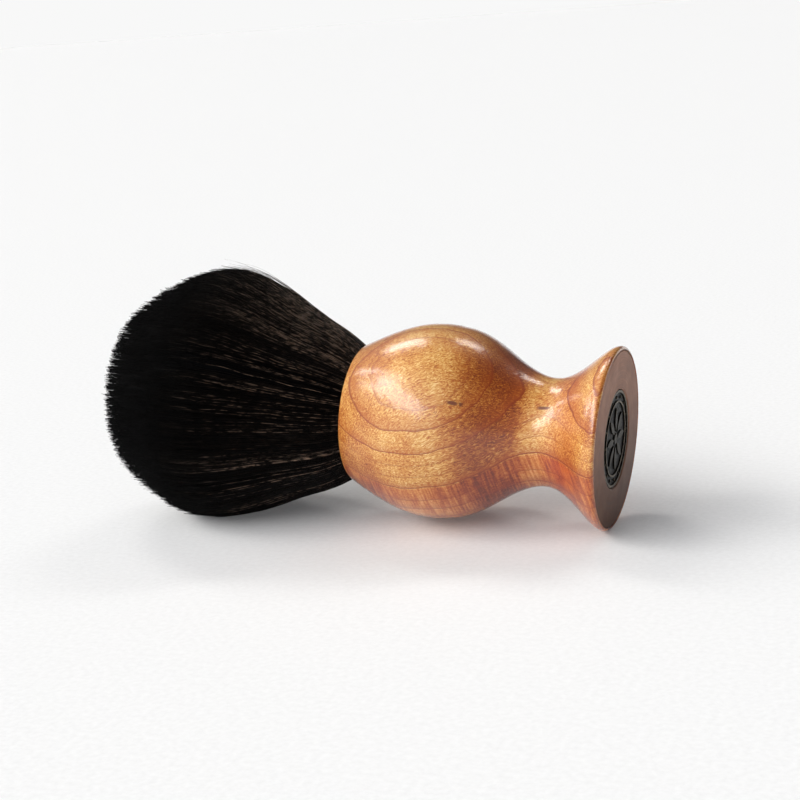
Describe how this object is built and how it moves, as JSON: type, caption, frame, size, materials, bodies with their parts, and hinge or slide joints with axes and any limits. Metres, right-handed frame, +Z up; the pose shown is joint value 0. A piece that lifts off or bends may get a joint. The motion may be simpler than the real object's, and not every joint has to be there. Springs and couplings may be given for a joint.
{
  "type": "shaving brush",
  "caption": "Shaving brush with a turned, waisted wooden handle, an inlaid foot disc with a medallion, and a domed black bristle knot that bends.",
  "frame": {"origin": "on the surface the brush lies on, under the middle of its length", "axes": "+X towards the foot of the handle, +Z up from the surface, so the brush lies on its foot rim and on the side of its bristles"},
  "size_m": [0.109, 0.0548, 0.0522],
  "materials": {
    "maple": "clear gloss lacquer over curly maple",
    "foot_disc": "satin brown anodised, fine turning lines",
    "medallion": "antiqued dark with rubbed raised work",
    "adhesive": "cured adhesive",
    "plug_resin": "cast resin",
    "thread": "waxed thread",
    "bristles": "fine black bristles with brown-grey glints"
  },
  "bodies": {
    "handle": {"handle": "maple", "foot_disc": "foot_disc", "foot_disc_adhesive": "adhesive", "medallion": "medallion", "medallion_adhesive": "adhesive", "knot_adhesive": "adhesive", "knot_plug": "plug_resin", "binding_thread": "thread", "bristle_root": "bristles", "bristle_neck": "bristles"},
    "bristle_middle": {"bristle_middle": "bristles"},
    "bristle_head": {"bristle_head": "bristles"}
  },
  "joints": [
    {"name": "bristle_sweep", "type": "hinge", "parent": "handle", "child": "bristle_middle", "pos_m": [-0.00873, 0, 0.02309], "axis": [0, 0, 1], "range_deg": [-25, 25], "stiffness_Nm_per_rad": 0.17, "deforming": ["bristle_neck"]},
    {"name": "bristle_lift", "type": "hinge", "parent": "bristle_middle", "child": "bristle_head", "pos_m": [-0.02668, 0, 0.0245], "axis": [0, 1, 0], "range_deg": [0, 25], "stiffness_Nm_per_rad": 0.17, "springref_deg": -5.73, "deforming": ["bristle_middle"]}
  ]
}
